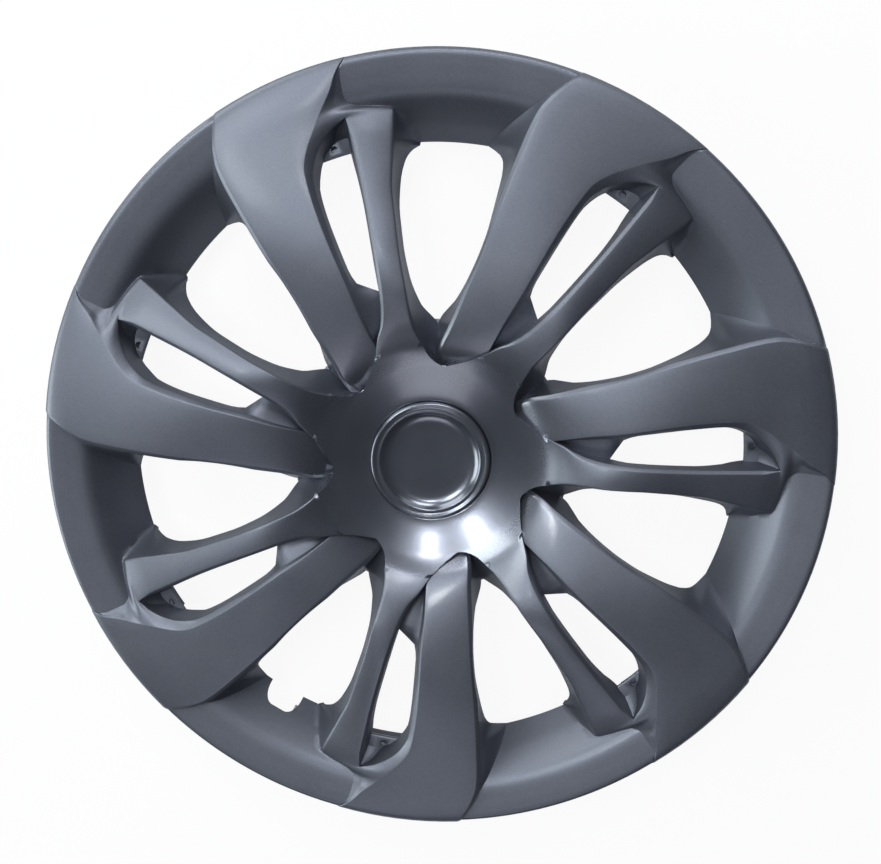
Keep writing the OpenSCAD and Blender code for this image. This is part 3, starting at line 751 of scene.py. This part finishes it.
class TRIM_OT_cover(bpy.types.Operator):
    """Skins the rim, coves, paddles, blades and hub as one moulding with softened edges"""

    bl_idname = "trim.cover"
    bl_label = "Cover"

    def execute(self, context):
        look = context.scene.trim_look
        soft = look.softness
        skin = Skin()

        # Paddles and blades from the hub out to the end of the slits
        skin.strip([place(r, paddle_row(r, soft)) for r in steps(*PADDLE_STEPS, *OUTER_STEPS)])
        skin.strip([place(r, blade_row(r, soft)) for r in steps(*STAR_STEPS, *OUTER_STEPS)])

        # The rim, where paddle, blade and cove run on in one section, the skirt below its edge, and the
        # scoops in the slits' ends
        rim = []
        for r in steps(*RIM_STEPS):
            rim.append(place(r, paddle_row(r, soft)[:PADDLE_TOP_COLUMNS]
                             + blade_row(r, soft)[BLADE_SLIT_COLUMNS:] + cove_row(r)[::-1][1:]))
        edge = rim[-1]
        for out, down in SKIRT:
            wider = 1 + out / DRAWN_RIM_R
            rim.append([(x * wider, y * wider, min(z, (RIM_HEIGHT - down) * MM)) for x, y, z in edge])
        skin.strip(rim)
        skin.strip([place(r, scoop_row(r, soft)) for r in steps(*SCOOP_STEPS)])

        # The hub's dish, which ends in the star's first section
        top = place(STAR_TIP_R, blade_row(STAR_TIP_R, soft)[SLIT_WALL_POINTS + 1:-WALL_POINTS - 1])
        dish = [[(x * r / STAR_TIP_R, y * r / STAR_TIP_R, (z + RIM_HEIGHT) * MM) for x, y, _ in top]
                for r, z in HUB_DISH]
        skin.strip([*dish, top])
        skin.round()

        cove = [place(r, cove_row(r)) for r in steps(*OUTER_STEPS)]
        for k in range(PAIRS):
            rows = notched_cove() if k == NOTCH_PAIR else cove
            skin.strip([turn_points(row[::-1], k * PITCH) for row in rows])

        cover = settle(skin.shell("trim_cover", look.wall), SHARP_EDGE)
        settle(joined(cover, lathe("hub_back", HUB_BACK, HUB_SEGMENTS)), SHARP_EDGE)
        finish_with(cover, paint(look))
        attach(cover, "root")
        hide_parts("cover")
        return {"FINISHED"}


class TRIM_OT_clips(bpy.types.Operator):
    """Builds the seven ledges in the slits' ends with their clips and gussets"""

    bl_idname = "trim.clips"
    bl_label = "Clips"

    def execute(self, context):
        look = context.scene.trim_look
        half, ledge_half = math.degrees(CLIP_HALF / CLIP_R), math.degrees(LEDGE_HALF / CLIP_R)
        ledge = lathe("ledge", LEDGE, CLIP_SEGMENTS, CLIP_DEG - ledge_half, CLIP_DEG + ledge_half)
        recess = circle(RECESS_R, 0, RECESS_SIZE, [(t + 0.5) * 7.5 for t in range(48)])
        subtract(ledge, prism("recess", recess, *RECESS_HEIGHTS, CLIP_DEG + RECESS_TURN))
        settle(ledge, SHARP_LEDGE)

        groove = circle(GROOVE_R, GROOVE_HEIGHT, GROOVE_SIZE, range(-117, 118, 13))
        back, front = ([(CLIP_R + x, z) for x, z in side] for side in (CLIP_BACK, CLIP_FRONT))
        profile = rounded([*back, *groove, *front], CLIP_CORNERS, 4)
        tab = lathe("tab", profile, CLIP_SEGMENTS, CLIP_DEG - half, CLIP_DEG + half)
        gussets = [prism("gusset", GUSSET, -GUSSET_HALF, GUSSET_HALF, CLIP_DEG + side, lying=True)
                   for side in (-GUSSET_SHARE * half, GUSSET_SHARE * half)]

        clips = turned(joined(ledge, tab, *gussets), PAIRS)
        clips.name = "trim_clips"
        settle(clips, SHARP_CLIP)
        finish_with(clips, paint(look))
        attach(clips, "root")
        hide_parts("cover")
        return {"FINISHED"}


class TRIM_OT_cap(bpy.types.Operator):
    """Turns the plain centre cap with its rounded rim and shallow bowl, and the split spigot behind it"""

    bl_idname = "trim.cap"
    bl_label = "Centre cap"

    def execute(self, context):
        look = context.scene.trim_look
        cap = lathe("trim_centre_cap", CAP, CAP_SEGMENTS)
        for deg in (0, 90):
            subtract(cap, prism("slot", SLOT, *SLOT_HEIGHTS, deg))
        settle(cap, SHARP_EDGE)
        finish_with(cap, paint(look))
        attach(cap, "root")
        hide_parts("centre_cap")
        return {"FINISHED"}


class TRIM_OT_wire(bpy.types.Operator):
    """Bends the open spring wire that lies in the clips' grooves"""

    bl_idname = "trim.wire"
    bl_label = "Retaining wire"

    def execute(self, context):
        look = context.scene.trim_look
        ring = circle(GROOVE_R, GROOVE_HEIGHT, look.wire_radius / MM, range(0, 360, 18))
        gap = math.degrees(WIRE_GAP_HALF / GROOVE_R)
        ends = WIRE_GAP_DEG + gap, WIRE_GAP_DEG + 360 - gap
        wire = lathe("trim_retaining_wire", ring, WIRE_SEGMENTS, *ends)
        settle(wire, SHARP_EDGE)
        finish_with(wire, drawn_wire(look))
        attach(wire, "root")
        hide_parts("retaining_ring")
        return {"FINISHED"}


class TRIM_OT_stage(bpy.types.Operator):
    """Lays the pale floor, hangs the lamps and sets up the camera"""

    bl_idname = "trim.stage"
    bl_label = "Stage"

    def execute(self, context):
        look = context.scene.trim_look
        scene = context.scene
        s = Shader(material_named("pale_floor"))
        seen = s.node("LightPath", {}, {}, "Is Camera Ray")
        mirrored = s.node("LightPath", {}, {}, "Is Glossy Ray")
        shade = s.node("BsdfDiffuse", {}, {"Color": colour(look.floor)})
        white = s.node("Emission", {}, {"Color": (1, 1, 1, 1), "Strength": 1.0})
        glow = s.node("MixShader", {}, {0: 0.92 * seen + 0.1 * mirrored, 1: shade, 2: white})
        corners = [(x * FLOOR_HALF, y * FLOOR_HALF, 0) for x, y in ((-1, -1), (1, -1), (1, 1), (-1, 1))]
        floor = link("floor", corners, [(0, 1, 2, 3)])
        floor.data.materials.append(s.surface(glow))

        # The room gives little light, but the camera sees it pale.
        scene.world = scene.world or bpy.data.worlds.new("studio")
        room = Shader(scene.world)
        dim = room.node("Background", {}, {"Color": (0.80, 0.88, 1.0, 1), "Strength": 0.06})
        paper = room.node("Background", {}, {"Color": (0.95, 0.95, 0.955, 1), "Strength": 1.0})
        seen = room.node("LightPath", {}, {}, "Is Camera Ray")
        room.surface(room.node("MixShader", {}, {0: seen, 1: dim, 2: paper}), "OutputWorld")

        for name, spot, size, radiance, tint in LAMPS:
            lamp = bpy.data.lights.new(name, "AREA")
            square = isinstance(size, tuple)
            lamp.shape = "RECTANGLE" if square else "DISK"
            lamp.size, lamp.size_y = size if square else (size, size)
            area = lamp.size * lamp.size_y * (1 if square else math.pi / 4)
            lamp.energy = math.pi * area * radiance
            lamp.color = tint
            obj = bpy.data.objects.new(name, lamp)
            obj.location = spot
            obj.rotation_euler = (Vector(LAMPS_FACE) - obj.location).to_track_quat("-Z", "Y").to_euler()
            scene.collection.objects.link(obj)

        camera = bpy.data.cameras.new("camera")
        camera.lens, camera.sensor_width = CAMERA_LENS, CAMERA_FILM
        camera.shift_x, camera.shift_y = CAMERA_SHIFT
        camera.clip_start = 0.01
        view = bpy.data.objects.new("camera", camera)
        tilt, roll, swing = (Matrix.Rotation(math.radians(deg), 3, axis)
                             for deg, axis in zip(CAMERA_TURNS, "XYZ"))
        turn = (tilt @ roll @ swing).transposed()
        view.matrix_world = Matrix.Translation(Vector(CAMERA_AT)) @ turn.to_4x4()
        scene.collection.objects.link(view)
        scene.camera = view
        scene.view_settings.view_transform = "Standard"
        return {"FINISHED"}


class TRIM_PT_panel(bpy.types.Panel):
    """Lists the pieces of the trim"""

    bl_idname = "TRIM_PT_panel"
    bl_label = "Wheel trim"
    bl_space_type = "VIEW_3D"
    bl_region_type = "UI"
    bl_category = "Trim"

    def draw(self, context):
        for name in TrimLook.__annotations__:
            self.layout.prop(context.scene.trim_look, name)
        for operator in PIECES:
            self.layout.operator(operator.bl_idname)


PIECES = (TRIM_OT_stage, TRIM_OT_cover, TRIM_OT_clips, TRIM_OT_cap, TRIM_OT_wire)
CLASSES = (TrimLook, *PIECES, TRIM_PT_panel)


def register():
    for item in CLASSES:
        bpy.utils.register_class(item)
    bpy.types.Scene.trim_look = PointerProperty(type=TrimLook)


def unregister():
    del bpy.types.Scene.trim_look
    for item in reversed(CLASSES):
        bpy.utils.unregister_class(item)


def main():
    register()
    bpy.ops.trim.stage()
    bpy.ops.trim.cover()
    bpy.ops.trim.clips()
    bpy.ops.trim.cap()
    bpy.ops.trim.wire()


if __name__ == "__main__":
    main()
